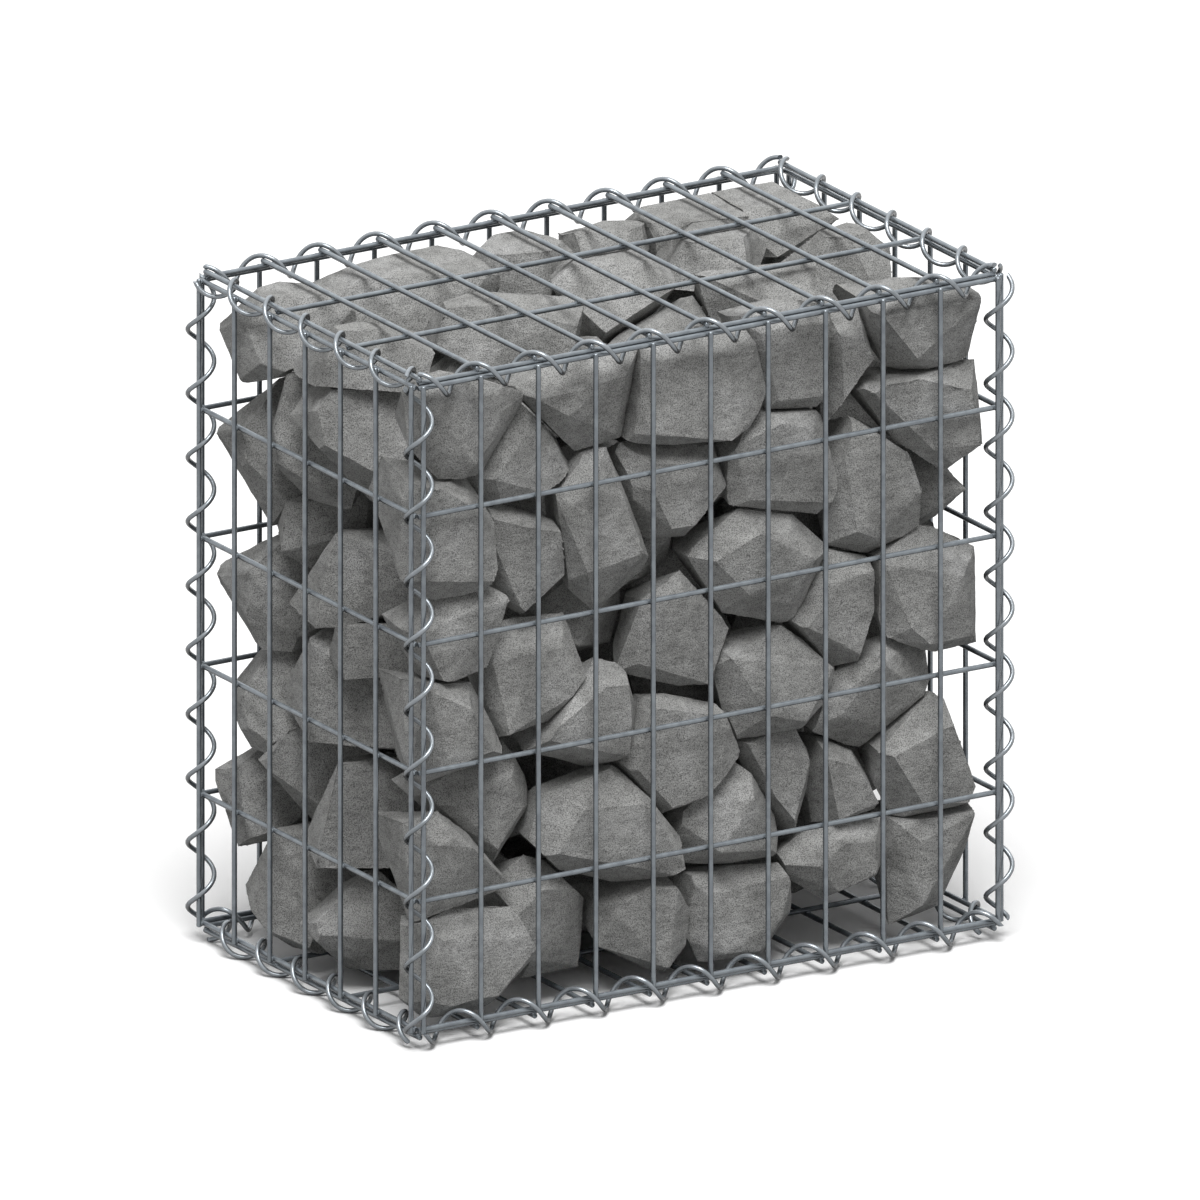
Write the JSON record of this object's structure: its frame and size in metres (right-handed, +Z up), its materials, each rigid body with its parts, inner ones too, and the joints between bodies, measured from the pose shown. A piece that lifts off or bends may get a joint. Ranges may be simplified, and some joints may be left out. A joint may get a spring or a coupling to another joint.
{
  "type": "gabion wall unit",
  "caption": "Stone-filled gabion: a box of welded wire mesh, its edges closed by spiral binders, packed with angular grey rock.",
  "frame": {"origin": "on the floor, under the middle of the basket", "axes": "+X along the wall's length, +Y from the front to the back, +Z up"},
  "size_m": [0.5282, 0.3316, 0.5287],
  "materials": {
    "mesh_wire": "galvanised, dull",
    "spiral_wire": "galvanised, bright",
    "rock": "rough broken rock"
  },
  "bodies": {
    "root": {"front_panel": "mesh_wire", "back_panel": "mesh_wire", "left_panel": "mesh_wire", "right_panel": "mesh_wire", "lid_panel": "mesh_wire", "base_panel": "mesh_wire", "spiral_top_front": "spiral_wire", "spiral_top_back": "spiral_wire", "spiral_top_left": "spiral_wire", "spiral_top_right": "spiral_wire", "spiral_bottom_front": "spiral_wire", "spiral_bottom_back": "spiral_wire", "spiral_bottom_left": "spiral_wire", "spiral_bottom_right": "spiral_wire", "spiral_corner_front_left": "spiral_wire", "spiral_corner_front_right": "spiral_wire", "spiral_corner_back_left": "spiral_wire", "spiral_corner_back_right": "spiral_wire", "stones_course_1": "rock", "stones_course_2": "rock", "stones_course_3": "rock", "stones_course_4": "rock", "stones_course_5": "rock", "stones_course_6": "rock", "stones_course_7": "rock"}
  },
  "joints": []
}
